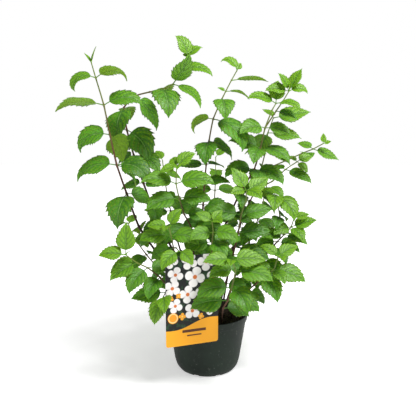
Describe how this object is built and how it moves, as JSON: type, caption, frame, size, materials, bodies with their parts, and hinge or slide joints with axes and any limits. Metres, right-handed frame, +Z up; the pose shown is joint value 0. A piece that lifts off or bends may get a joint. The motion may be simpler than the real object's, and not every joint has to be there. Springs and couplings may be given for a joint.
{
  "type": "potted mock orange shrub",
  "caption": "Young mock orange shrub with thin leafy canes and toothed opposite leaves, in a round nursery pot with a hooked picture tag.",
  "frame": {"origin": "centre of the pot's flat foot, on the ground", "axes": "+Z up, +X to the right and -Y towards the front, as the picture shows it"},
  "size_m": [0.6077, 0.4408, 0.7472],
  "materials": {
    "pot": "dark green plastic, slightly dusty",
    "soil": "loose dark bark and peat mix",
    "tag": "printed thin plastic card",
    "stem_left": "living stem and leaves",
    "stem_arching": "living stem and leaves",
    "stem_centre": "living stem and leaves",
    "stem_right": "living stem and leaves",
    "stem_right_back": "living stem and leaves",
    "stem_front_left": "living stem and leaves",
    "stem_front_left_low": "living stem and leaves",
    "stem_front_centre": "living stem and leaves",
    "stem_low_left": "living stem and leaves",
    "stem_front_right": "living stem and leaves",
    "stem_low_front": "living stem and leaves",
    "stem_low_right": "living stem and leaves",
    "stem_far_right": "living stem and leaves",
    "stem_back_left": "living stem and leaves",
    "stem_back": "living stem and leaves",
    "stem_back_right": "living stem and leaves",
    "stem_back_low_left": "living stem and leaves"
  },
  "bodies": {
    "root": {"pot": "pot", "soil": "soil", "tag": "tag", "stem_left": "stem_left", "stem_arching": "stem_arching", "stem_centre": "stem_centre", "stem_right": "stem_right", "stem_right_back": "stem_right_back", "stem_front_left": "stem_front_left", "stem_front_left_low": "stem_front_left_low", "stem_front_centre": "stem_front_centre", "stem_low_left": "stem_low_left", "stem_front_right": "stem_front_right", "stem_low_front": "stem_low_front", "stem_low_right": "stem_low_right", "stem_far_right": "stem_far_right", "stem_back_left": "stem_back_left", "stem_back": "stem_back", "stem_back_right": "stem_back_right", "stem_back_low_left": "stem_back_low_left"}
  },
  "joints": []
}
